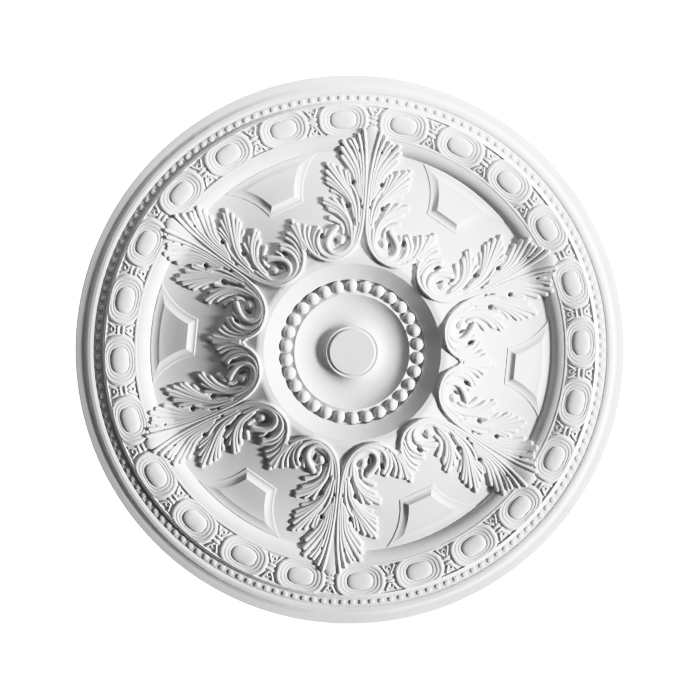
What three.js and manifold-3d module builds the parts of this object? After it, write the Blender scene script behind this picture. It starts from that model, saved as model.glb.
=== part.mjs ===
// Ceiling rose, moulded in one piece: rim mouldings, an egg band, six acanthus sprays with scrolls
// and palmettes, six tablets between them, and a beaded dish round a flat boss.
// Millimetres. It lies face up on its flat back. The origin is the centre of the back,
// +Z points out of the ornament, and one leaf points along +Y.
import * as THREE from 'three';
import { mergeVertices } from 'three/addons/utils/BufferGeometryUtils.js';
import Module from 'manifold-3d';

// Overall size, and what repeats round the rose
const OUTER_RADIUS = 400;
const ROUND_STEPS = 48;
const CURVE_STEPS = 2;
const SPRAYS = 6;
const EGGS = 24;
const BEADS = 30;

// Rim: a hollow moulding, a flat fillet and a half-round bead row
const EDGE_HEIGHT = 7;
const HOLLOW_IN = 382;
const HOLLOW_HEIGHT = 13;
const FILLET_IN = 373.5;
const FILLET_HEIGHT = 13.6;
const BEAD_ROW_IN = 361;
const BEAD_ROW_CREST = 17.4;
const BEAD_ROW_FOOT = 15;

// Egg band, the thin edge inside it and the quarter-round down to the field
const BAND_OUT = 355.5;
const BAND_OUT_HEIGHT = 22;
const BAND_CREST_RADIUS = 335;
const BAND_CREST = 27.2;
const BAND_IN = 314.5;
const BAND_IN_HEIGHT = 22;
const QUARTER_ROUND_OUT = 311;
const QUARTER_ROUND_HEIGHT = 21;
const QUARTER_ROUND_BEND = 298;
const FIELD_OUT = 292;
const FIELD_LOW = 12;

// The field rises inwards, ever steeper, to the edge of the dish
const FIELD_IN = 128;
const FIELD_HIGH = 52;
const FIELD_POWER = 1.65;
const FIELD_STEPS = 4;

// Dish, bead groove, trough and boss
const DISH_IN = 99;
const DISH_LOW = 37.4;
const GROOVE_IN = 83.5;
const GROOVE_HEIGHT = 38.5;
const TROUGH_RADIUS = 57;
const TROUGH_LOW = 33.2;
const BOSS_FOOT_RADIUS = 36.5;
const BOSS_FOOT_HEIGHT = 40.6;
const BOSS_RADIUS = 32.5;
const BOSS_HEIGHT = 43;
const BEAD_RING_RADIUS = 95;
const BEAD_RADIUS = 9.2;
const BEAD_TOP = 45.5;
const BEAD_WAIST_SCALE = 0.5;
const BEAD_WAIST_TOP = 40.5;

// An egg is a wide oval dome in a hollow cup
const EGG_RADIUS = 334.5;
const EGG_SIDES = 8;
const OVAL_POWER = 2.5;
const CUP_HALF_WIDTH = 40;
const CUP_HALF_HEIGHT = 22;
const CUP_RIM = 27.5;
const EGG_FOOT = 20.5;
const EGG_FOOT_SCALE = 0.6;
const EGG_CREST = 24.8;
const EGG_CREST_SCALE = 0.45;

// Tablets between the sprays: bevelled, with hollowed sides. Each level is a rise above the field
// at the inner and the outer end.
const TABLET_RISE = [6, 2.2];
const TABLET_LEVEL = [0, 0];
const TABLET_SINK = [-3, -3];
const TABLET_FOOT = { inner: 225, outer: 292, side: 92 };
const TABLET_TOP = { inner: 238, outer: 280, side: 105 };
const SIDE_CENTRE = 231;
const SIDE_STEPS = 2;
const OUTER_CORNER_DROP = 11;

// Leaves: how far they stand off the field, and how the crown climbs over the egg band
const LEAF_RISE = 8;
const LEAF_SINK = 3;
const TIP_DROP = 1;
const NOTCH_DROP = 4;
const ROOT_SLOPE = 0.85;
const CROWN_START = 274;
const CROWN_END = 322;
const CROWN_HEIGHT = 28;

// Outline of the right half of a leaf as [across, out from the rose's centre]. Tips and notches
// take turns from the foot up, lobe by lobe.
const ACANTHUS = {
  foot: [3, 164],
  tips: [
    [52, 190], [64, 214], [38, 219],
    [60, 244], [65, 269], [34, 263],
    [43, 280], [45, 304],
    [25, 317], [13, 324],
  ],
  notches: [
    [41, 192], [45, 214], [22, 211],
    [55, 250], [45, 260], [22, 245],
    [38, 288], [23, 298],
    [17, 312],
  ],
  spineDrop: 5,
};
const PALMETTE = {
  foot: [5, 139],
  tips: [[17, 192], [2, 212]],
  notches: [[10, 190]],
  spineDrop: -2,
};

// The scroll that springs from the leaf's foot, as a ridge with a sharp crest
const SCROLL = [[7, 166], [20, 138], [42, 129], [62, 134], [69, 152], [63, 176]];
const SCROLL_HALF_WIDTH = 6;
const SCROLL_STEPS = 4;
const SCROLL_END_SCALE = 0.5;
const SCROLL_END_DROP = 3;

// The volute inside the scroll is a low dome
const VOLUTE_PLACE = [35, 157];
const VOLUTE_RADIUS = 14;
const VOLUTE_HEIGHT = 9;
const VOLUTE_SIDES = 6;
const VOLUTE_RINGS = 3;

const WHITE = 0xf1f0ee;
const ROUGHNESS = 0.6;
const MERGE_DISTANCE = 1e-3;

const wasm = await Module();
wasm.setup();

// A closed geometry as a solid that can be joined and cut
function toSolid(geometry) {
  geometry.deleteAttribute('normal');
  geometry.deleteAttribute('uv');
  const merged = mergeVertices(geometry, MERGE_DISTANCE);
  const corners = merged.index.array;
  const triangles = [];
  for (let i = 0; i < corners.length; i += 3) {
    const [a, b, c] = corners.slice(i, i + 3);
    if (a !== b && b !== c && c !== a) triangles.push(a, b, c);
  }
  const vertProperties = new Float32Array(merged.attributes.position.array);
  const triVerts = new Uint32Array(triangles);
  return new wasm.Manifold(new wasm.Mesh({ numProp: 3, vertProperties, triVerts }));
}

function toGeometry(solid) {
  const mesh = solid.getMesh();
  const geometry = new THREE.BufferGeometry();
  geometry.setAttribute('position', new THREE.BufferAttribute(mesh.vertProperties, 3));
  geometry.setIndex(new THREE.BufferAttribute(mesh.triVerts, 1));
  return geometry;
}

// Six times the volume inside the faces, negative where they point inwards
function signedVolume(points, faces) {
  const normal = new THREE.Vector3();
  return faces.reduce((sum, [a, b, c]) => sum + points[a].dot(normal.crossVectors(points[b], points[c])), 0);
}

// A closed body through rings of equal count: a loop of rings, or one with a fan of faces at each end
function loft(rings, loop = false) {
  const count = rings[0].length;
  const points = rings.flat();
  const faces = [];
  const first = rings[0].map((_, i) => i);
  const spans = loop ? rings.length : rings.length - 1;
  for (let k = 0; k < spans; k++) {
    const next = (k + 1) % rings.length;
    for (const i of first) {
      const j = (i + 1) % count;
      const [a, b, c, d] = [k * count + i, k * count + j, next * count + j, next * count + i];
      faces.push([a, b, c], [a, c, d]);
    }
  }
  const last = first.map((i) => spans * count + i);
  if (!loop) for (const ring of [first.reverse(), last]) closeEnd(ring, points, faces);
  if (signedVolume(points, faces) < 0) faces.forEach((face) => face.reverse());
  const geometry = new THREE.BufferGeometry().setFromPoints(points);
  geometry.setIndex(faces.flat());
  return geometry;
}

function closeEnd(ring, points, faces) {
  const middle = new THREE.Vector3();
  ring.forEach((i) => middle.addScaledVector(points[i], 1 / ring.length));
  const hub = points.push(middle) - 1;
  ring.forEach((i, k) => faces.push([i, ring[(k + 1) % ring.length], hub]));
}

// A point seen from the axis at an angle: across it, out along it and up
function at(angle, across, out, up) {
  const x = out * Math.cos(angle) - across * Math.sin(angle);
  const y = out * Math.sin(angle) + across * Math.cos(angle);
  return new THREE.Vector3(x, y, up);
}

function fieldHeight(radius) {
  const inwards = THREE.MathUtils.clamp((FIELD_OUT - radius) / (FIELD_OUT - FIELD_IN), 0, 1);
  return FIELD_LOW + (FIELD_HIGH - FIELD_LOW) * inwards ** FIELD_POWER;
}

// The moulding's section from the back's centre round the rim to the boss's centre
function section() {
  const path = new THREE.Path().moveTo(0, 0);
  path.lineTo(OUTER_RADIUS, 0).lineTo(OUTER_RADIUS, EDGE_HEIGHT);
  path.quadraticCurveTo(HOLLOW_IN, EDGE_HEIGHT, HOLLOW_IN, HOLLOW_HEIGHT);
  path.lineTo(FILLET_IN, FILLET_HEIGHT);
  path.quadraticCurveTo((FILLET_IN + BEAD_ROW_IN) / 2, BEAD_ROW_CREST, BEAD_ROW_IN, BEAD_ROW_FOOT);
  path.lineTo(BAND_OUT, BAND_OUT_HEIGHT);
  path.quadraticCurveTo(BAND_CREST_RADIUS, BAND_CREST, BAND_IN, BAND_IN_HEIGHT);
  path.lineTo(QUARTER_ROUND_OUT, QUARTER_ROUND_HEIGHT);
  path.quadraticCurveTo(QUARTER_ROUND_BEND, QUARTER_ROUND_HEIGHT, FIELD_OUT, FIELD_LOW);
  for (let k = 1; k <= FIELD_STEPS; k++) {
    const radius = THREE.MathUtils.lerp(FIELD_OUT, FIELD_IN, k / FIELD_STEPS);
    path.lineTo(radius, fieldHeight(radius));
  }
  path.lineTo(DISH_IN, DISH_LOW).lineTo(GROOVE_IN, GROOVE_HEIGHT);
  path.quadraticCurveTo((GROOVE_IN + TROUGH_RADIUS) / 2, TROUGH_LOW, TROUGH_RADIUS, TROUGH_LOW);
  const troughBend = (TROUGH_RADIUS + BOSS_FOOT_RADIUS) / 2;
  path.quadraticCurveTo(troughBend, TROUGH_LOW, BOSS_FOOT_RADIUS, BOSS_FOOT_HEIGHT);
  path.lineTo(BOSS_RADIUS, BOSS_HEIGHT).lineTo(0, BOSS_HEIGHT);
  return path.getPoints(CURVE_STEPS);
}

const SECTION = section();

function mouldings() {
  const geometry = new THREE.LatheGeometry(SECTION, ROUND_STEPS);
  geometry.rotateX(Math.PI / 2);
  return toSolid(geometry);
}

// Height of the moulded ground at a radius, read off the section's upper side
function groundHeight(radius) {
  const upper = SECTION.slice(2);
  const k = upper.findIndex((point) => point.x <= radius);
  if (k <= 0) return upper[0].y;
  const [outer, inner] = [upper[k - 1], upper[k]];
  return THREE.MathUtils.mapLinear(radius, outer.x, inner.x, outer.y, inner.y);
}

// Crest of the leaves: it follows the field, then climbs over the egg band
function leafHeight(radius) {
  const climb = THREE.MathUtils.smoothstep(radius, CROWN_START, CROWN_END);
  return THREE.MathUtils.lerp(fieldHeight(radius) + LEAF_RISE, CROWN_HEIGHT, climb);
}

// A rounded oval on the rose's face, scaled about its centre
function oval(angle, scale, up) {
  const round = (value) => Math.sign(value) * Math.abs(value) ** (2 / OVAL_POWER);
  const ring = [];
  for (let k = 0; k < EGG_SIDES; k++) {
    const turn = (k + 0.5) / EGG_SIDES * 2 * Math.PI;
    const across = scale * CUP_HALF_WIDTH * round(Math.cos(turn));
    const out = EGG_RADIUS + scale * CUP_HALF_HEIGHT * round(Math.sin(turn));
    ring.push(at(angle, across, out, up));
  }
  return ring;
}

// The tool that carves a cup round its egg, from above the band down to the egg's crest
function eggCup(angle) {
  const rings = [[1, CUP_RIM], [EGG_FOOT_SCALE, EGG_FOOT], [EGG_CREST_SCALE, EGG_CREST]];
  return toSolid(loft(rings.map(([scale, up]) => oval(angle, scale, up))));
}

// The ring of beads as one string, wide at each belly and narrow at each waist
function beadString() {
  const sunk = GROOVE_HEIGHT - LEAF_SINK;
  const rings = [];
  for (let k = 0; k < BEADS; k++) {
    for (const [shift, scale, top] of [[0, BEAD_WAIST_SCALE, BEAD_WAIST_TOP], [0.5, 1, BEAD_TOP]]) {
      const angle = Math.PI / 2 + (k + shift) / BEADS * 2 * Math.PI;
      const half = scale * BEAD_RADIUS;
      const corner = (offset, up) => at(angle, 0, BEAD_RING_RADIUS + offset, up);
      rings.push([corner(-half, sunk), corner(0, top), corner(half, sunk)]);
    }
  }
  return toSolid(loft(rings, true));
}

// Outline of a tablet seen from its own axis: a straight inner edge, hollow sides and a round outer edge
function tabletRing(angle, { inner, outer, side }, [innerRise, outerRise]) {
  const spraySide = Math.PI / SPRAYS;
  const centre = new THREE.Vector2(Math.sin(spraySide), Math.cos(spraySide)).multiplyScalar(SIDE_CENTRE);
  const right = [];
  for (let k = 0; k <= SIDE_STEPS; k++) {
    const out = THREE.MathUtils.lerp(inner, outer - OUTER_CORNER_DROP, k / SIDE_STEPS);
    const across = centre.x - Math.sqrt(side ** 2 - (out - centre.y) ** 2);
    right.push([across, out]);
  }
  const left = right.map(([across, out]) => [-across, out]).reverse();
  const ring = [...right, [0, outer], ...left];
  return ring.map(([across, out]) => {
    const rise = THREE.MathUtils.mapLinear(out, inner, outer, innerRise, outerRise);
    return at(angle, across, out, fieldHeight(Math.hypot(across, out)) + rise);
  });
}

function tablet(angle) {
  const sunk = tabletRing(angle, TABLET_FOOT, TABLET_SINK);
  const foot = tabletRing(angle, TABLET_FOOT, TABLET_LEVEL);
  const top = tabletRing(angle, TABLET_TOP, TABLET_RISE);
  return toSolid(loft([sunk, foot, top]));
}

// Tips and notches of a leaf's outline in turn, each with the place on the spine that its vein starts from
function outline({ foot, tips, notches }) {
  const edge = [{ across: foot[0], out: foot[1], drop: NOTCH_DROP }];
  tips.forEach(([across, out], k) => {
    edge.push({ across, out, drop: TIP_DROP });
    if (k < notches.length) edge.push({ across: notches[k][0], out: notches[k][1], drop: NOTCH_DROP });
  });
  let root = foot[1];
  return edge.map((point) => {
    root = Math.max(root, point.out - ROOT_SLOPE * point.across);
    return { ...point, root };
  });
}

// A leaf with mirrored halves: its facets fan out from the spine to every tip and notch
function leaf(angle, shape) {
  const rings = outline(shape).map(({ across, out, drop, root }) => {
    const radius = Math.hypot(across, out);
    const edge = leafHeight(radius) - drop;
    const sunk = Math.min(groundHeight(radius), fieldHeight(radius)) - LEAF_SINK;
    const spine = at(angle, 0, root, leafHeight(root) - shape.spineDrop);
    const corner = (side, up) => at(angle, side * across, out, up);
    return [corner(-1, edge), spine, corner(1, edge), corner(1, sunk), corner(-1, sunk)];
  });
  return toSolid(loft(rings));
}

// A scroll's ridge along its centre line, its feet sunk in the ground and its end drawn in
function scroll(angle, mirror) {
  const line = new THREE.SplineCurve(SCROLL.map(([across, out]) => new THREE.Vector2(across, out)));
  const rings = [];
  for (let k = 0; k <= SCROLL_STEPS; k++) {
    const point = line.getPoint(k / SCROLL_STEPS);
    const along = line.getTangent(k / SCROLL_STEPS);
    const end = k === SCROLL_STEPS;
    const half = end ? SCROLL_HALF_WIDTH * SCROLL_END_SCALE : SCROLL_HALF_WIDTH;
    const aside = new THREE.Vector2(-along.y, along.x).multiplyScalar(half);
    const crest = leafHeight(point.length()) - (end ? SCROLL_END_DROP : 0);
    const sunk = fieldHeight(point.length()) - LEAF_SINK;
    const corner = (spot, up) => at(angle, mirror * spot.x, spot.y, up);
    rings.push([
      corner(point.clone().sub(aside), sunk),
      corner(point, crest),
      corner(point.clone().add(aside), sunk),
    ]);
  }
  return toSolid(loft(rings));
}

function volute(angle, mirror) {
  const geometry = new THREE.SphereGeometry(1, VOLUTE_SIDES, VOLUTE_RINGS);
  geometry.rotateX(Math.PI / 2);
  geometry.scale(VOLUTE_RADIUS, VOLUTE_RADIUS, VOLUTE_HEIGHT);
  const [across, out] = VOLUTE_PLACE;
  const place = at(angle, mirror * across, out, fieldHeight(Math.hypot(across, out)));
  geometry.translate(place.x, place.y, place.z);
  return toSolid(geometry);
}

function scrolls(angle) {
  return [1, -1].flatMap((mirror) => [scroll(angle, mirror), volute(angle, mirror)]);
}

// Angles of what repeats, counted from the leaf along +Y
function round(count, offset, make) {
  return Array.from({ length: count }, (_, k) => make(Math.PI / 2 + (k + offset) / count * 2 * Math.PI));
}

function rose() {
  let body = mouldings();
  for (const cup of round(EGGS, 0.5, eggCup)) body = body.subtract(cup);
  const raised = [
    beadString(),
    ...round(SPRAYS, 0.5, tablet),
    ...round(SPRAYS, 0, (angle) => leaf(angle, ACANTHUS)),
    ...round(SPRAYS, 0.5, (angle) => leaf(angle, PALMETTE)),
    ...round(SPRAYS, 0, scrolls).flat(),
  ];
  for (const part of raised) body = body.add(part);
  return toGeometry(body);
}

const material = new THREE.MeshStandardMaterial({ color: WHITE, roughness: ROUGHNESS, metalness: 0 });
const mesh = new THREE.Mesh(rose(), material);
mesh.name = 'ceiling_rose';

const group = new THREE.Group();
group.add(mesh);

export default group;
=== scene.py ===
import math
from collections import namedtuple

import bpy
import numpy as np
from mathutils import Matrix, Vector


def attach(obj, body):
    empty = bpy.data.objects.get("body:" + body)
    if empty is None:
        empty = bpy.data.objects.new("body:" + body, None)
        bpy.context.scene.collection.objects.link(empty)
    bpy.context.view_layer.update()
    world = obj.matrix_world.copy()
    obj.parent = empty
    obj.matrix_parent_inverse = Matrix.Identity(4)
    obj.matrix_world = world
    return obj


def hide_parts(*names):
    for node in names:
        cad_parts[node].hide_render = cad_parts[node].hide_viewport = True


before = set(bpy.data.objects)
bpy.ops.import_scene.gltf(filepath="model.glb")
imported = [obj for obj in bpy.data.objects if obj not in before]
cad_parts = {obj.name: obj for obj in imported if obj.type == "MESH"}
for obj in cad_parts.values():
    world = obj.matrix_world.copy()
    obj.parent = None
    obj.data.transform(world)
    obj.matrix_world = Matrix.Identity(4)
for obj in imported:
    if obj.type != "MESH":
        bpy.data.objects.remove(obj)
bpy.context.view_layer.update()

# Units: sizes are in millimetres and become metres when the mesh is made
MM = 0.001

# The rose repeats six times, and each sixth is a half and its mirror image
SECTORS = 6
HALF_SECTOR = math.pi / SECTORS

# Turned profile, as radius and height above the ceiling face
OUTER_RADIUS = 400.0
RIM_TOP = (OUTER_RADIUS, 5.8)
RIM_EDGE = (399.0, 6.6)
HOLLOW_OUT = (392.0, 8.2)
HOLLOW_BEND = (386.4, 8.6)
HOLLOW_TOP = (382.6, 12.6)
FILLET_OUT = (381.8, 13.0)
FILLET_CREST = (377.5, 13.9)
FILLET_IN = (373.8, 13.5)
FINE_GROOVE = (372.7, 12.5)
FINE_BEADS_OUT = (371.8, 13.4)
FINE_BEADS_IN = (361.5, 14.8)
SLIP_OUT = (360.6, 15.6)
SLIP_IN = (356.4, 21.0)
BAND_OUT = 355.3
BAND_IN = 314.4
BAND_EDGE = 22.0
BAND_CROWN = 2.6
BAND_FADE = 1.0
LIP_OUT = (313.6, 21.8)
LIP_IN = (311.3, 21.8)
QUARTER_ROUND_TOP = (310.5, 20.9)
QUARTER_ROUND_BEND = (298.0, 19.8)
FIELD_OUT = 292.0
FIELD_LOW = 12.0
FIELD_IN = 136.0
FIELD_HIGH = 52.0
FIELD_POWER = 1.65
DISH_EDGE = (127.0, FIELD_HIGH)
DISH_FOOT = (105.2, 40.6)
GROOVE_OUT = (103.6, 35.0)
GROOVE_IN = (88.0, 38.2)
TROUGH_EDGE = (82.8, 40.4)
TROUGH_BEND_OUT = (71.5, 33.0)
TROUGH_LOW = (57.0, 32.8)
TROUGH_BEND_IN = (44.0, 32.6)
BOSS_FOOT = (37.2, 40.8)
BOSS_STEP = (34.0, 40.0)
BOSS_EDGE = (32.0, 43.0)
DISC_RADIUS = 30.0
CURVE_STEPS = 24

# Power of a ball's round top, and steepness of a drilled hole's wall
BALL = 2
HOLE_STEEPNESS = 4

# Where a ring of repeats starts: with one on the leaf's axis, or half a pitch beside it
ON_AXIS = 0.0
BESIDE_AXIS = 0.5

# Egg band
EGGS = 24
EGG_RADIUS = 334.5
EGG_HALF = (18.9, 13.2)
EGG_SQUARENESS = 2.5
EGG_ROUNDING = 4.0
EGG_DEPTH = 2.4
EGG_RISE = 2.7
CUP_SPREAD = 0.84
CUP_RINGS = 3
CUP_RING_RISE = 0.6
SPANDREL_DEPTH = 2.6
SPANDREL_WALL = 0.12

# Clasps between the eggs: two reels, an eyelet and a pair of small leaves on either side of them
REELS = (3.8, -3.6)
REEL_HALF = (6.6, 2.4)
REEL_RISE = 2.6
CLASP_RISE = 2.4
CLASP_LEAVES = (((2.4, 8), (5.4, 12.5), (8, 17)), ((2.4, -8), (6, -13), (8.6, -18)))
CLASP_LEAF_HALF = 1.7
EYELETS = (11.4, -13.2)
EYELET_RADIUS = 4.8
EYELET_HOLE = 2.1
EYELET_DEPTH = 3.5

# Bead rows
LARGE_BEADS = 30
LARGE_BEAD_CIRCLE = 95.0
LARGE_BEAD_RADIUS = 9.1
LARGE_BEAD_HEIGHT = 36.4
FINE_BEADS = 162
FINE_BEAD_CIRCLE = 366.5
FINE_BEAD_HALF = (4.6, 4.0)
FINE_BEAD_SQUARENESS = 2.6
FINE_BEAD_RISE = 1.7

# Raised tablets between the leaves
TABLET_INNER = 225.0
TABLET_OUTER = 291.5
TABLET_SIDE = 92.0
TABLET_SIDE_CENTRE = 231.0
TABLET_STEP = 1.0
TABLET_STEP_WIDTH = 1.2
TABLET_RISE = 5.0
TABLET_COVE = 9.5
TABLET_COVE_START = 3.5
TABLET_COVE_POWER = 1.8
TABLET_FADE = (235.0, 284.0)
TABLET_OUTER_SHARE = 0.35

# Leaf sprays, drawn on a grid across and out from the leaf's axis
GRID = 1.46
LEAF_RISE = 4.8
CROWN_START = 274.0
CROWN_END = 322.0
CROWN_HEIGHT = 27.5
FINGER_DROP = 1.3
FINGER_ROUNDING = 2.5
FINGER_WALL = 1.6
FINGER_ROOT_DEPTH = 1.0
LINE_STEPS = 22

# Mesh of one half sector before and after it is thinned
RADIAL_STEPS = 620
ANGLE_STEPS = 340
HALF_SECTOR_TRIANGLES = 15600
CORNER_INSET = 0.2
SLOPE_STEP = 0.2
WELD = 0.01
SIDE_SLACK = 0.02
INNER_SLACK = 1.0
OUTER_SLACK = 0.5

# Camera, with angles in degrees and lengths in metres
QUARTER_TURN = 90.0
ROSE_TURN = 5.4
CAMERA_LEAN = 3.0
CAMERA_LEAN_TOWARDS = 135.0
CAMERA_DISTANCE = 2.6
PICTURE_WIDTH = 1.022
PICTURE_SHIFT = (-0.0016, 0.0014)
SENSOR_WIDTH = 36.0

# Light, with angles in degrees and lengths in metres
KEY_AZIMUTH = -6.0
KEY_ELEVATION = 26.0
KEY_STRENGTH = 2.95
KEY_SOFTNESS = 8.0
PANEL_AZIMUTH = 80.0
PANEL_REACH = 1.0
PANEL_HEIGHT = 0.7
PANEL_SIDE = 0.5
PANEL_STRENGTH = 2.6
SKY_STRENGTH = 0.025
WHITE = (1, 1, 1, 1)

# Camera tone, as light in and light out, on the curve that acts on all colours
COMBINED_CURVE = 3
TONE_CURVE = ((0, 0), (0.11, 0.155), (0.25, 0.47), (0.42, 0.78), (0.6, 0.93), (1, 1))

# White paint on the casting
PAINT_SPECULAR = 0.3
MOTTLE_SCALE = 14
MOTTLE_DETAIL = 4
MOTTLE_RANGE = (0.3, 0.7)
MOTTLE_COLOURS = ((0.70, 0.70, 0.695, 1), (0.75, 0.75, 0.745, 1))
STIPPLE_SCALE = 420
STIPPLE_DETAIL = 3
ROUGHNESS_RANGE = (0.55, 0.75)
GRAIN_STRENGTH = 0.12
GRAIN_DISTANCE = 0.0006

# Floor, in metres
FLOOR_SIZE = 12
FLOOR_DROP = 0.0005
FLOOR_COLOUR = (0.9, 0.9, 0.9, 1)
FLOOR_ROUGHNESS = 0.9
FLOOR_GLOW = 1.0

# Fingers: half width on the drawing grid and lift in millimetres, both at root and tip, and the line
Finger = namedtuple("Finger", "width lift line")

# Broad low bodies of the lobes, under their ridges
BODIES = (
    Finger((2.0, 6.0), (-0.8, -1.8), ((0, 152), (0, 180), (0, 217))),
    Finger((3.0, 5.0), (-0.6, -1.4), ((5, 160), (10, 184), (15, 201))),
    Finger((3.0, 6.0), (-0.6, -1.6), ((8, 158), (14.5, 178), (22, 192))),
    Finger((3.0, 6.5), (-0.6, -1.8), ((9, 138), (17, 155), (27, 166), (35, 172.4))),
    Finger((2.5, 5.5), (-0.6, -1.8), ((12, 113), (16.4, 127), (25, 136), (34, 141))),
    Finger((3.2, 4.5), (0, -1.2), (
        (7, 124), (9.4, 109), (16.4, 99), (26, 93.6), (35, 93), (42, 97), (46.5, 108))),
    Finger((2.5, 5.0), (-0.6, -1.4), ((52, 95), (58.5, 105), (63.5, 115.5))),
)

# Ridges of the lobes, from the tip of the leaf to its scroll
CROWN_FINGERS = (
    Finger((1.3, 1.6), (1.2, 0), (
        (1.4, 140), (1.5, 158), (2.5, 178), (4.2, 196), (6.4, 209), (8.4, 218.6))),
    Finger((1.2, 1.5), (0.8, -0.3), ((3.6, 146), (4.2, 168), (6.2, 186), (9.6, 202), (13.6, 213.6))),
    Finger((1.3, 1.6), (0.6, -0.5), ((5.2, 152), (6.4, 172), (9.8, 190), (14.6, 202), (18.6, 208.6))),
    Finger((1.2, 1.5), (-0.3, -0.8), ((11.4, 190), (16.4, 200), (21.8, 206.6))),
)
UPPER_LOBE = (
    Finger((1.6, 2.2), (0.5, -0.8), ((6.8, 154), (9.6, 176), (15, 188), (21.6, 197.6), (27.6, 205.4))),
    Finger((1.6, 2.2), (0.2, -1.0), ((8.4, 156), (12.4, 176.4), (19, 187.4), (28.6, 199))),
    Finger((1.6, 2.2), (-0.2, -1.2), ((10.2, 160), (15, 175.4), (21, 183.6), (27.4, 191))),
    Finger((1.6, 2.0), (-1.2, -2.0), ((12.4, 166), (16.6, 174), (20.6, 178.8))),
)
MIDDLE_LOBE = (
    Finger((1.4, 1.4), (1, 0), ((5.6, 128), (6.8, 142), (9.4, 153), (13.2, 160), (16.2, 163.4))),
    Finger((1.5, 1.9), (0.8, -0.6), (
        (7.6, 126), (10.4, 142), (16, 153.4), (24, 163), (33, 173), (41.6, 182.4))),
    Finger((1.2, 1.2), (-0.8, -1), ((15.4, 158), (17.6, 166.6), (19.6, 174.4))),
    Finger((1.4, 1.5), (-0.6, -0.8), ((16, 156), (20.4, 167.4), (23, 177))),
    Finger((1.5, 1.8), (-0.4, -0.8), ((18, 157.6), (24.8, 170), (29.8, 180))),
    Finger((1.5, 1.8), (-0.4, -0.6), ((21, 161), (30, 173.4), (37, 181.6))),
    Finger((1.7, 2.0), (0.4, -0.8), ((9.8, 132), (16.6, 150), (29, 163.6), (41.4, 174.8))),
    Finger((1.7, 2.0), (0, -1.2), ((12, 138), (18.6, 151), (30, 161.6), (40.6, 168))),
    Finger((1.7, 1.8), (-0.8, -1.6), ((15, 144), (20.4, 151.6), (30.6, 159.2), (39.6, 163.8))),
    Finger((1.6, 2.2), (-2.2, -3), ((20, 149), (28, 154.4), (34.6, 156.4))),
)
LOWER_LOBE = (
    Finger((1.6, 2.0), (1, -0.6), (
        (11.2, 106), (11.8, 117), (16, 130), (24.6, 139.6), (34, 144.6), (41.4, 147.4))),
    Finger((1.7, 1.9), (-0.2, -1.2), ((14, 122), (20, 132.6), (31, 140.4), (41.6, 143.8))),
    Finger((1.5, 1.5), (-0.4, -0.6), ((15, 129), (20.6, 139.6), (24.6, 148.4))),
    Finger((1.6, 1.6), (-0.4, -0.8), ((18, 133), (26, 142.6), (32.6, 148.4))),
    Finger((1.7, 2.0), (-0.4, -1.2), ((13.6, 114), (18, 126.6), (27, 134.6), (35.6, 137.8))),
    Finger((1.6, 2.2), (-2, -1), ((22, 124.4), (28.6, 127.6), (34, 129.2))),
)
SCROLL = (
    Finger((1.4, 1.5), (1.4, 0.5), (
        (1.5, 142), (1.8, 130), (3.2, 117), (6.8, 105), (13.5, 95.6), (22, 89.8), (32, 87.2),
        (42, 89.4), (50, 94.8), (58.6, 104))),
    Finger((1.3, 1.9), (0.8, 1.0), (
        (3.6, 140), (4.2, 126), (6.2, 112.6), (10.4, 103), (17, 95.8), (25, 91.6),
        (32, 91), (39, 94), (43.6, 101), (44.4, 108), (42, 115.6))),
    Finger((1.4, 1.6), (0, 0), ((42, 92.6), (47.4, 100.6), (48.4, 110), (45, 118.4))),
    Finger((1.4, 2.4), (0.8, 1.6), (
        (9.4, 122), (9.6, 111), (13.2, 101.6), (19.4, 96), (26.6, 94.6), (32, 97.4),
        (34.8, 103.4), (33.6, 110.4), (30, 116.6), (27, 120.5))),
    Finger((1.6, 1.4), (0, -1.5), ((22.4, 123), (20.6, 120), (20.4, 116))),
    Finger((1.3, 1.2), (0, -0.5), ((35.6, 109), (37.4, 113), (36.8, 117))),
    Finger((3.4, 3.4), (-1.2, -1.2), ((20.6, 109.6), (21.4, 108))),
    Finger((2.0, 2.0), (0, 0), ((20.6, 109.6), (21.4, 108))),
)
PALMETTE = (
    Finger((1.6, 1.8), (0.5, -0.5), ((50, 93.6), (56.2, 104.6), (58.6, 113), (58.4, 119))),
    Finger((1.5, 1.5), (-0.2, -0.8), ((46.6, 94.4), (52.6, 105.4), (54, 112), (53.4, 118))),
    Finger((1.5, 1.8), (0.6, -0.5), ((55, 97), (61.4, 108.6), (66.4, 120))),
    Finger((1.6, 2.0), (0.4, -1.2), ((59, 102.2), (64.4, 111.5), (70.6, 122.3))),
)

SPRAY = BODIES + CROWN_FINGERS + UPPER_LOBE + MIDDLE_LOBE + LOWER_LOBE + SCROLL + PALMETTE

# Eyes between the lobes: place, half width and half length on the drawing grid, depth in millimetres
Eye = namedtuple("Eye", "place half depth")
EYES = (
    Eye((14.2, 166.8), (1.9, 2.2), 14),
    Eye((17.0, 142.8), (2.3, 2.8), 14),
    Eye((40.6, 110.0), (1.8, 3.0), 14),
    Eye((26.6, 106.0), (1.6, 3.6), 8),
    Eye((11.4, 198.4), (0.9, 1.5), 5),
)
EYE_FLOOR = 7.0


def smooth(x, low, high):
    """Eases from 0 at low to 1 at high"""
    t = np.clip((x - low) / (high - low), 0, 1)
    return t * t * (3 - 2 * t)


def bump(x, power):
    """A rounded top of height 1 that falls to 0 where x reaches 1"""
    return np.sqrt(np.clip(1 - x ** power, 0, 1))


def curve(start, bend, end):
    """Points of a curve from start to end that leans towards bend, without the start"""
    t = np.linspace(0, 1, CURVE_STEPS + 1)[1:, None]
    a, b, c = (np.array(point, float) for point in (start, bend, end))
    return [tuple(point) for point in (1 - t) ** 2 * a + 2 * t * (1 - t) * b + t ** 2 * c]


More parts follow.
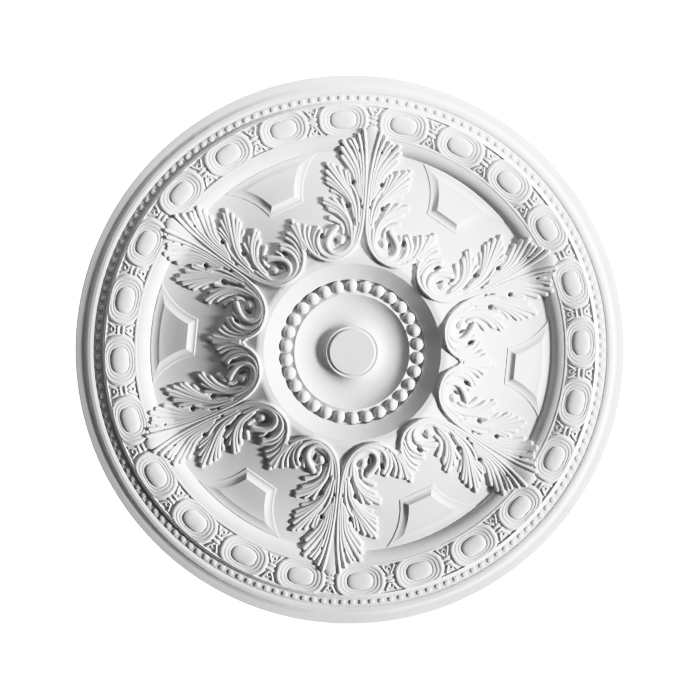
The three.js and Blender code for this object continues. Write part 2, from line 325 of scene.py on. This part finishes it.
def even_line(points, count):
    """Evenly spaced points along a smooth line through points"""
    p = np.array(points, float)
    q = np.vstack([2 * p[0] - p[1], p, 2 * p[-1] - p[-2]])
    t = np.linspace(0, 1, CURVE_STEPS, endpoint=False)[:, None]
    spans = []
    for a, b, c, d in zip(q, q[1:], q[2:], q[3:]):
        spans.append(b + (c - a) * t / 2 + (a - 2.5 * b + 2 * c - d / 2) * t ** 2
                     + (1.5 * (b - c) + (d - a) / 2) * t ** 3)
    fine = np.vstack(spans + [p[-1:]])
    length = np.concatenate([[0], np.cumsum(np.hypot(*np.diff(fine, axis=0).T))])
    even = np.linspace(0, length[-1], count)
    return np.column_stack([np.interp(even, length, fine[:, axis]) for axis in (0, 1)])


def nearest(across, out, line):
    """Distance of each place to a line, and how far along the line that is, from 0 to 1"""
    best = np.full(across.shape, np.inf)
    along = np.zeros(across.shape)
    spans = len(line) - 1
    for index in range(spans):
        (x0, y0), (x1, y1) = line[index], line[index + 1]
        dx, dy = x1 - x0, y1 - y0
        t = np.clip(((across - x0) * dx + (out - y0) * dy) / (dx * dx + dy * dy), 0, 1)
        square = (across - x0 - t * dx) ** 2 + (out - y0 - t * dy) ** 2
        near = square < best
        best = np.where(near, square, best)
        along = np.where(near, (index + t) / spans, along)
    return np.sqrt(best), along


def field_height(radius):
    """The hollow cone that carries the leaves"""
    inwards = np.clip((FIELD_OUT - radius) / (FIELD_OUT - FIELD_IN), 0, 1)
    return FIELD_LOW + (FIELD_HIGH - FIELD_LOW) * inwards ** FIELD_POWER


def turned_profile():
    """Radius and height of the plain mouldings, from the boss to the rim"""
    points = [(0, BOSS_EDGE[1]), BOSS_EDGE, BOSS_STEP, BOSS_FOOT]
    points += curve(BOSS_FOOT, TROUGH_BEND_IN, TROUGH_LOW)
    points += curve(TROUGH_LOW, TROUGH_BEND_OUT, TROUGH_EDGE)
    points += [GROOVE_IN, GROOVE_OUT, DISH_FOOT, DISH_EDGE]
    field = np.linspace(DISH_EDGE[0], FIELD_OUT, 2 * CURVE_STEPS)[1:]
    points += list(zip(field, field_height(field)))
    points += curve((FIELD_OUT, FIELD_LOW), QUARTER_ROUND_BEND, QUARTER_ROUND_TOP)
    points += [LIP_IN, LIP_OUT]
    band = np.linspace(BAND_IN, BAND_OUT, CURVE_STEPS)
    swell = np.sin(math.pi * (band - BAND_IN) / (BAND_OUT - BAND_IN))
    points += list(zip(band, BAND_EDGE + BAND_CROWN * swell))
    points += [SLIP_IN, SLIP_OUT, FINE_BEADS_IN, FINE_BEADS_OUT, FINE_GROOVE]
    points += [FILLET_IN, FILLET_CREST, FILLET_OUT, HOLLOW_TOP]
    points += curve(HOLLOW_TOP, HOLLOW_BEND, HOLLOW_OUT)
    return np.array(points + [RIM_EDGE, RIM_TOP])


PROFILE = turned_profile()


def ground_height(radius):
    """Height of the plain mouldings"""
    return np.interp(radius, PROFILE[:, 0], PROFILE[:, 1])


def leaf_height(radius):
    """Height of a leaf's ridges: a step above the field, climbing over the egg band at the crown"""
    climb = smooth(radius, CROWN_START, CROWN_END)
    return (field_height(radius) + LEAF_RISE) * (1 - climb) + CROWN_HEIGHT * climb


def from_repeat(angle, radius, count, circle, offset):
    """Place measured across and out from the nearest of count points on a circle"""
    pitch = 2 * math.pi / count
    turn = (angle + (0.5 - offset) * pitch) % pitch - pitch / 2
    return radius * np.sin(turn), radius * np.cos(turn) - circle


def oval(across, out, half, squareness):
    """Distance from the middle of an oval, 1 at its edge"""
    x, y = np.abs(across / half[0]), np.abs(out / half[1])
    return (x ** squareness + y ** squareness) ** (1 / squareness)


def inside_band(radius):
    """Eases from 0 off the egg band to 1 on it"""
    after_start = smooth(radius, BAND_IN - BAND_FADE, BAND_IN)
    return after_start * (1 - smooth(radius, BAND_OUT - BAND_FADE, BAND_OUT))


def egg_band(angle, radius):
    """Eggs sunk into cups with stepped rings"""
    across, out = from_repeat(angle, radius, EGGS, EGG_RADIUS, BESIDE_AXIS)
    reach = oval(across, out, EGG_HALF, EGG_SQUARENESS)
    egg = EGG_RISE * bump(reach, EGG_ROUNDING) - EGG_DEPTH
    climb = np.clip((reach - 1) / CUP_SPREAD, 0, 1)
    cup = EGG_DEPTH * (climb - 1) + CUP_RING_RISE * np.abs(np.sin(math.pi * CUP_RINGS * climb))
    spandrel = SPANDREL_DEPTH * smooth(reach, 1 + CUP_SPREAD, 1 + CUP_SPREAD + SPANDREL_WALL)
    return (np.where(reach < 1, egg, cup) - spandrel) * inside_band(radius)


def clasps(angle, radius):
    """Reels, eyelets and small leaves between the eggs"""
    across, out = from_repeat(angle, radius, EGGS, EGG_RADIUS, ON_AXIS)
    across = np.abs(across)
    height = np.zeros(radius.shape)
    for place in REELS:
        reach = oval(across, out - place, REEL_HALF, EGG_SQUARENESS)
        height = np.maximum(height, REEL_RISE * bump(reach, BALL))
    for points in CLASP_LEAVES:
        distance = nearest(across, out, even_line(points, CURVE_STEPS // 2))[0]
        height = np.maximum(height, CLASP_RISE * bump(distance / CLASP_LEAF_HALF, BALL))
    for place in EYELETS:
        distance = np.hypot(across, out - place)
        height = np.maximum(height, CLASP_RISE * bump(distance / EYELET_RADIUS, BALL))
        height = height - EYELET_DEPTH * np.exp(-(distance / EYELET_HOLE) ** HOLE_STEEPNESS)
    return height * inside_band(radius)


def tablets(across, out, radius):
    """A thin step, then a cove that rises to a flat top, round the edge of each tablet"""
    from_axis = across * math.sin(HALF_SECTOR) + out * math.cos(HALF_SECTOR)
    side = np.hypot(across, out - TABLET_SIDE_CENTRE)
    depth = np.minimum.reduce([from_axis - TABLET_INNER, TABLET_OUTER - radius, side - TABLET_SIDE])
    step = TABLET_STEP * smooth(depth, 0, TABLET_STEP_WIDTH)
    cove = np.clip((depth - TABLET_COVE_START) / TABLET_COVE, 0, 1)
    share = 1 - (1 - TABLET_OUTER_SHARE) * smooth(radius, *TABLET_FADE)
    return step + share * TABLET_RISE * cove ** TABLET_COVE_POWER


def add_large_beads(angle, radius, height):
    """Sets the ring of balls into the dish"""
    across, out = from_repeat(angle, radius, LARGE_BEADS, LARGE_BEAD_CIRCLE, BESIDE_AXIS)
    reach = np.hypot(across, out) / LARGE_BEAD_RADIUS
    ball = LARGE_BEAD_HEIGHT + LARGE_BEAD_RADIUS * bump(reach, BALL)
    return np.where(reach < 1, np.maximum(height, ball), height)


def add_fine_beads(angle, radius, height):
    """Raises the row of small beads round the rim"""
    across, out = from_repeat(angle, radius, FINE_BEADS, FINE_BEAD_CIRCLE, BESIDE_AXIS)
    reach = oval(across, out, FINE_BEAD_HALF, FINE_BEAD_SQUARENESS)
    return height + FINE_BEAD_RISE * bump(reach, FINE_BEAD_SQUARENESS)


def add_finger(finger, across, out, radius, ground, height):
    """Raises the places near one finger's line to its rounded ridge with steep sides"""
    line = even_line(np.array(finger.line) * GRID, LINE_STEPS)
    reach = max(finger.width) * GRID + FINGER_WALL
    low, high = line.min(axis=0) - reach, line.max(axis=0) + reach
    near = (across > low[0]) & (across < high[0]) & (out > low[1]) & (out < high[1])
    distance, along = nearest(across[near], out[near], line)
    half = np.interp(along, (0, 1), finger.width) * GRID
    ridge = leaf_height(radius[near]) + np.interp(along, (0, 1), finger.lift)
    ridge -= FINGER_DROP * np.minimum(distance / half, 1) ** FINGER_ROUNDING
    ridge -= (ridge - ground[near] + FINGER_ROOT_DEPTH) * smooth(distance - half, 0, FINGER_WALL)
    height[near] = np.maximum(height[near], ridge)


def cut_eye(eye, across, out, ground, height):
    """Sinks a drilled eye between two lobes"""
    x = (across / GRID - eye.place[0]) / eye.half[0]
    y = (out / GRID - eye.place[1]) / eye.half[1]
    distance = np.hypot(x, y)
    floor = np.minimum(height, np.maximum(height - eye.depth, ground - EYE_FLOOR))
    return height + (floor - height) * np.exp(-distance ** HOLE_STEEPNESS)


def relief(across, out):
    """Height of the front, across and out from a leaf's axis"""
    radius = np.hypot(across, out)
    angle = np.abs(np.arctan2(across, out))
    angle = np.where(angle > HALF_SECTOR, 2 * HALF_SECTOR - angle, angle)
    across, out = radius * np.sin(angle), radius * np.cos(angle)
    height = ground_height(radius) + egg_band(angle, radius) + clasps(angle, radius)
    height += tablets(across, out, radius)
    height = add_large_beads(angle, radius, height)
    height = add_fine_beads(angle, radius, height)
    ground = height.copy()
    for finger in SPRAY:
        add_finger(finger, across, out, radius, ground, height)
    for eye in EYES:
        height = cut_eye(eye, across, out, ground, height)
    return height


def grid_mesh(name, points, rows, columns):
    """A mesh of quads over a grid of points"""
    index = np.arange(rows * columns).reshape(rows, columns)
    corners = [index[:-1, :-1], index[1:, :-1], index[1:, 1:], index[:-1, 1:]]
    quads = np.stack(corners, axis=-1).reshape(-1, len(corners))
    mesh = bpy.data.meshes.new(name)
    mesh.from_pydata(points.tolist(), [], quads.tolist())
    return mesh


def thinned(mesh, triangles):
    """Points and triangles of a mesh, after it is thinned where it is smooth"""
    thick = bpy.data.objects.new(mesh.name, mesh)
    bpy.context.collection.objects.link(thick)
    modifier = thick.modifiers.new("thin", "DECIMATE")
    modifier.ratio = triangles / (2 * len(mesh.polygons))
    modifier.use_collapse_triangulate = True
    seen = thick.evaluated_get(bpy.context.evaluated_depsgraph_get())
    thin = bpy.data.meshes.new_from_object(seen)
    points = np.array([vertex.co for vertex in thin.vertices])
    faces = np.array([face.vertices for face in thin.polygons])
    bpy.data.objects.remove(thick)
    bpy.data.meshes.remove(thin)
    return points, faces


def open_edge_points(faces):
    """Indices of the points on edges that only one face has"""
    edges = np.sort(np.vstack([faces[:, (0, 1)], faces[:, (1, 2)], faces[:, (2, 0)]]), axis=1)
    unique, count = np.unique(edges, axis=0, return_counts=True)
    return np.unique(unique[count == 1])


def squared_up(points, faces):
    """Sets the points of the cut sides exactly on the two mirror planes"""
    edge = open_edge_points(faces)
    radius = np.hypot(points[edge, 0], points[edge, 1])
    angle = np.arctan2(points[edge, 0], points[edge, 1])
    slack = SIDE_SLACK * HALF_SECTOR
    angle = np.where(angle < slack, 0, np.where(angle > HALF_SECTOR - slack, HALF_SECTOR, angle))
    inner = radius < DISC_RADIUS + INNER_SLACK
    outer = radius > OUTER_RADIUS - OUTER_SLACK
    radius = np.where(inner, DISC_RADIUS, np.where(outer, OUTER_RADIUS, radius))
    points[edge, 0] = radius * np.sin(angle)
    points[edge, 1] = radius * np.cos(angle)
    return points


def corner_normals(points, faces):
    """Directions of the true surface, taken a little inside each corner of each face"""
    corners = points[faces][:, :, :2]
    middle = corners.mean(axis=1, keepdims=True)
    place = corners + CORNER_INSET * (middle - corners)
    across, out = place[..., 0].ravel(), place[..., 1].ravel()
    slope_x = (relief(across + SLOPE_STEP, out) - relief(across - SLOPE_STEP, out)) / (2 * SLOPE_STEP)
    slope_y = (relief(across, out + SLOPE_STEP) - relief(across, out - SLOPE_STEP)) / (2 * SLOPE_STEP)
    normals = np.stack([-slope_x, -slope_y, np.ones_like(slope_x)], axis=-1)
    normals /= np.linalg.norm(normals, axis=1, keepdims=True)
    return normals.reshape(len(faces), 3, 3)


def half_sector():
    """Points, triangles and corner normals of one half sector of the front, from the boss to the rim"""
    angles = np.linspace(0, HALF_SECTOR, ANGLE_STEPS)
    radii = np.linspace(DISC_RADIUS, OUTER_RADIUS, RADIAL_STEPS)
    radius, angle = np.meshgrid(radii, angles)
    across, out = radius * np.sin(angle), radius * np.cos(angle)
    points = np.stack([across, out, relief(across, out)], axis=-1).reshape(-1, 3)
    mesh = grid_mesh("half_sector", points, ANGLE_STEPS, RADIAL_STEPS)
    points, faces = thinned(mesh, HALF_SECTOR_TRIANGLES)
    points = squared_up(points, faces)
    return points, faces, corner_normals(points, faces)


def whole_front():
    """The half sector and its mirror image, six times round, joined along their sides"""
    points, faces, normals = half_sector()
    all_points, all_faces, all_normals = [], [], []
    for sector in range(SECTORS):
        turn = np.array(Matrix.Rotation(2 * math.pi * sector / SECTORS, 3, "Z"))
        for side in (1, -1):
            all_faces.append(faces[:, ::side] + len(points) * len(all_points))
            all_points.append((points * (side, 1, 1)) @ turn.T)
            all_normals.append((normals[:, ::side] * (side, 1, 1)) @ turn.T)
    points, faces, normals = (np.vstack(parts) for parts in (all_points, all_faces, all_normals))
    places, index = np.unique(np.round(points / WELD).astype(int), axis=0, return_inverse=True)
    return places * WELD, index.ravel()[faces], normals


def ring_points(points, radius):
    """Indices of the points on a circle, in order round it"""
    ring = np.flatnonzero(np.abs(np.hypot(points[:, 0], points[:, 1]) - radius) < WELD)
    return ring[np.argsort(np.arctan2(points[ring, 1], points[ring, 0]))]


def fan(ring, centre):
    """Triangles from a centre to each step of a ring"""
    return np.stack([np.full(len(ring), centre), ring, np.roll(ring, -1)], axis=-1)


def close_back(points, faces, normals):
    """Adds the boss's disc, the rim's side and the flat back"""
    boss = ring_points(points, DISC_RADIUS)
    rim = ring_points(points, OUTER_RADIUS)
    foot = np.arange(len(rim)) + len(points)
    centres = len(points) + len(rim) + np.arange(2)
    disc_centre = np.array([(0, 0, BOSS_EDGE[1]), (0, 0, 0)])
    points = np.vstack([points, points[rim] * (1, 1, 0), disc_centre])
    wall = np.vstack([
        np.stack([rim, foot, np.roll(foot, -1)], axis=-1),
        np.stack([rim, np.roll(foot, -1), np.roll(rim, -1)], axis=-1),
    ])
    disc, back = fan(boss, centres[0]), fan(foot, centres[1])[:, ::-1]
    outwards = points[wall] * (1, 1, 0) / OUTER_RADIUS
    up = np.broadcast_to((0, 0, 1), (len(disc), 3, 3))
    down = np.broadcast_to((0, 0, -1), (len(back), 3, 3))
    return points, np.vstack([faces, disc, wall, back]), np.vstack([normals, up, outwards, down])


def make_rose():
    """The whole casting as one closed mesh"""
    points, faces, normals = close_back(*whole_front())
    mesh = bpy.data.meshes.new("rose_casting")
    mesh.from_pydata((points * MM).tolist(), [], faces.tolist())
    mesh.shade_smooth()
    mesh.normals_split_custom_set(normals.reshape(-1, 3).tolist())
    rose = bpy.data.objects.new("rose_casting", mesh)
    bpy.context.collection.objects.link(rose)
    return rose


def white_moulding():
    """Matt white paint on a cast, faintly mottled and stippled"""
    material = bpy.data.materials.new("white_moulding")
    material.use_nodes = True
    nodes, links = material.node_tree.nodes, material.node_tree.links
    shader = nodes["Principled BSDF"]
    shader.inputs["Specular IOR Level"].default_value = PAINT_SPECULAR
    place = nodes.new("ShaderNodeTexCoord")
    mottle = nodes.new("ShaderNodeTexNoise")
    mottle.inputs["Scale"].default_value = MOTTLE_SCALE
    mottle.inputs["Detail"].default_value = MOTTLE_DETAIL
    tint = nodes.new("ShaderNodeValToRGB")
    for stop, position, colour in zip(tint.color_ramp.elements, MOTTLE_RANGE, MOTTLE_COLOURS):
        stop.position = position
        stop.color = colour
    stipple = nodes.new("ShaderNodeTexNoise")
    stipple.inputs["Scale"].default_value = STIPPLE_SCALE
    stipple.inputs["Detail"].default_value = STIPPLE_DETAIL
    rough = nodes.new("ShaderNodeMapRange")
    rough.inputs["To Min"].default_value = ROUGHNESS_RANGE[0]
    rough.inputs["To Max"].default_value = ROUGHNESS_RANGE[1]
    grain = nodes.new("ShaderNodeBump")
    grain.inputs["Strength"].default_value = GRAIN_STRENGTH
    grain.inputs["Distance"].default_value = GRAIN_DISTANCE
    links.new(place.outputs["Object"], mottle.inputs["Vector"])
    links.new(place.outputs["Object"], stipple.inputs["Vector"])
    links.new(mottle.outputs["Fac"], tint.inputs["Fac"])
    links.new(tint.outputs["Color"], shader.inputs["Base Color"])
    links.new(stipple.outputs["Fac"], rough.inputs["Value"])
    links.new(rough.outputs["Result"], shader.inputs["Roughness"])
    links.new(stipple.outputs["Fac"], grain.inputs["Height"])
    links.new(grain.outputs["Normal"], shader.inputs["Normal"])
    return material


def pale_floor():
    """A plain white sheet under the rose, bright enough to read as a white ground"""
    bpy.ops.mesh.primitive_plane_add(size=FLOOR_SIZE, location=(0, 0, -FLOOR_DROP))
    floor = bpy.context.object
    floor.name = "floor"
    paint = bpy.data.materials.new("white_ground")
    paint.use_nodes = True
    shader = paint.node_tree.nodes["Principled BSDF"]
    shader.inputs["Base Color"].default_value = FLOOR_COLOUR
    shader.inputs["Roughness"].default_value = FLOOR_ROUGHNESS
    shader.inputs["Emission Color"].default_value = WHITE
    shader.inputs["Emission Strength"].default_value = FLOOR_GLOW
    floor.data.materials.append(paint)


def photo_direction(azimuth, elevation):
    """Direction given by its angle in the photo's frame and its height above the ground"""
    a = math.radians(azimuth + ROSE_TURN)
    e = math.radians(elevation)
    return Vector((math.cos(a) * math.cos(e), math.sin(a) * math.cos(e), math.sin(e)))


def add_lamp(light, place):
    """Hangs a light at a place, turned to the rose's middle"""
    lamp = bpy.data.objects.new(light.name, light)
    lamp.location = place
    lamp.rotation_mode = "QUATERNION"
    lamp.rotation_quaternion = place.to_track_quat("Z", "Y")
    bpy.context.collection.objects.link(lamp)


def add_key():
    """A soft key light from the photo's right"""
    light = bpy.data.lights.new("key", "SUN")
    light.energy = KEY_STRENGTH
    light.angle = math.radians(KEY_SOFTNESS)
    add_lamp(light, photo_direction(KEY_AZIMUTH, KEY_ELEVATION))


def add_panel():
    """A square panel of light above the photo's top"""
    light = bpy.data.lights.new("panel", "AREA")
    light.size = PANEL_SIDE
    light.energy = PANEL_STRENGTH
    add_lamp(light, photo_direction(PANEL_AZIMUTH, 0) * PANEL_REACH + Vector((0, 0, PANEL_HEIGHT)))


def add_sky():
    """Faint light from all round"""
    world = bpy.data.worlds.new("studio")
    world.use_nodes = True
    sky = world.node_tree.nodes["Background"]
    sky.inputs["Color"].default_value = WHITE
    sky.inputs["Strength"].default_value = SKY_STRENGTH
    bpy.context.scene.world = world


def camera_tone():
    """A soft shoulder for the lights and firmer darks, as a camera gives"""
    view = bpy.context.scene.view_settings
    view.view_transform = "Standard"
    view.use_curve_mapping = True
    tone = view.curve_mapping
    combined = tone.curves[COMBINED_CURVE]
    combined.points[0].location = TONE_CURVE[0]
    combined.points[1].location = TONE_CURVE[-1]
    for place in TONE_CURVE[1:-1]:
        combined.points.new(*place)
    tone.update()


def photo_camera():
    """A camera above the rose, leaning and turned as in the photo"""
    data = bpy.data.cameras.new("camera")
    data.sensor_width = SENSOR_WIDTH
    data.lens = SENSOR_WIDTH * CAMERA_DISTANCE / PICTURE_WIDTH
    data.shift_x, data.shift_y = PICTURE_SHIFT
    camera = bpy.data.objects.new("camera", data)
    towards = photo_direction(CAMERA_LEAN_TOWARDS, QUARTER_TURN - CAMERA_LEAN)
    camera.location = towards * CAMERA_DISTANCE
    up = photo_direction(QUARTER_TURN, 0)
    side = up.cross(towards).normalized()
    up = towards.cross(side)
    camera.rotation_euler = Matrix((side, up, towards)).transposed().to_euler()
    bpy.context.collection.objects.link(camera)
    bpy.context.scene.camera = camera


photo_camera()
add_key()
add_panel()
add_sky()
camera_tone()
pale_floor()
rose = make_rose()
rose.data.materials.append(white_moulding())
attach(rose, "root")
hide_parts("ceiling_rose")
